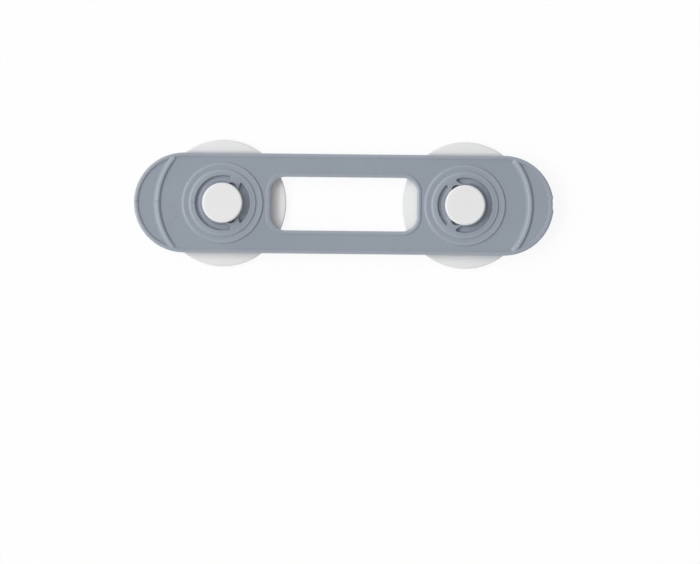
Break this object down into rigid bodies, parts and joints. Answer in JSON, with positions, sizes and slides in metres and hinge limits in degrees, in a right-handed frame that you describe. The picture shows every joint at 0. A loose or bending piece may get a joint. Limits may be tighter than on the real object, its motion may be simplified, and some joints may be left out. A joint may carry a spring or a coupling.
{
  "type": "cabinet safety lock",
  "caption": "Soft grey strap with a long window and stepped round ends that snap over white studs on round adhesive bases, holding a cabinet door or drawer shut.",
  "frame": {"origin": "on the surface that the lock is stuck to, under the middle of the strap", "axes": "+X along the strap from the left stud to the right stud, +Z away from the surface, +Y across the strap"},
  "size_m": [0.168, 0.05, 0.0095],
  "materials": {
    "strap": "satin",
    "stud": "satin",
    "foam": "matte",
    "liner": "satin"
  },
  "bodies": {
    "left_stud": {"stud_base_left": "stud", "foam_pad_left": "foam"},
    "left_liner": {"release_liner_left": "liner"},
    "left_arms": {"strap_arms_left": "strap"},
    "left_end": {"strap_end_left": "strap", "snap_collar_left": "strap"},
    "right_arms": {"strap_arms_right": "strap"},
    "right_end": {"strap_end_right": "strap", "snap_collar_right": "strap"},
    "right_stud": {"stud_base_right": "stud", "foam_pad_right": "foam"},
    "right_liner": {"release_liner_right": "liner"}
  },
  "joints": [
    {"name": "left_stud_swivel", "type": "hinge", "parent": "left_stud", "child": "left_arms", "pos_m": [-0.0485, 0, 0.0058], "axis": [0, 0, 1], "continuous": true},
    {"name": "left_end_peel", "type": "hinge", "parent": "left_arms", "child": "left_end", "pos_m": [-0.02, 0, 0.00475], "axis": [0, 1, 0], "range_deg": [0, 45], "stiffness_Nm_per_rad": 0.02, "deforming": ["snap_collar_left"]},
    {"name": "strap_bend", "type": "hinge", "parent": "left_arms", "child": "right_arms", "pos_m": [0, 0, 0.00475], "axis": [0, -1, 0], "range_deg": [-90, 90], "stiffness_Nm_per_rad": 0.02, "deforming": ["strap_arms_left", "strap_arms_right"]},
    {"name": "right_end_peel", "type": "hinge", "parent": "right_arms", "child": "right_end", "pos_m": [0.02, 0, 0.00475], "axis": [0, -1, 0], "range_deg": [0, 45], "stiffness_Nm_per_rad": 0.02, "deforming": ["snap_collar_right"]},
    {"name": "right_stud_swivel", "type": "hinge", "parent": "right_arms", "child": "right_stud", "pos_m": [0.0485, 0, 0.0058], "axis": [0, 0, 1], "continuous": true},
    {"name": "left_liner_peel", "type": "slide", "parent": "left_stud", "child": "left_liner", "axis": [0, -1, 0], "range_m": [0, 0.06]},
    {"name": "right_liner_peel", "type": "slide", "parent": "right_stud", "child": "right_liner", "axis": [0, -1, 0], "range_m": [0, 0.06]}
  ]
}
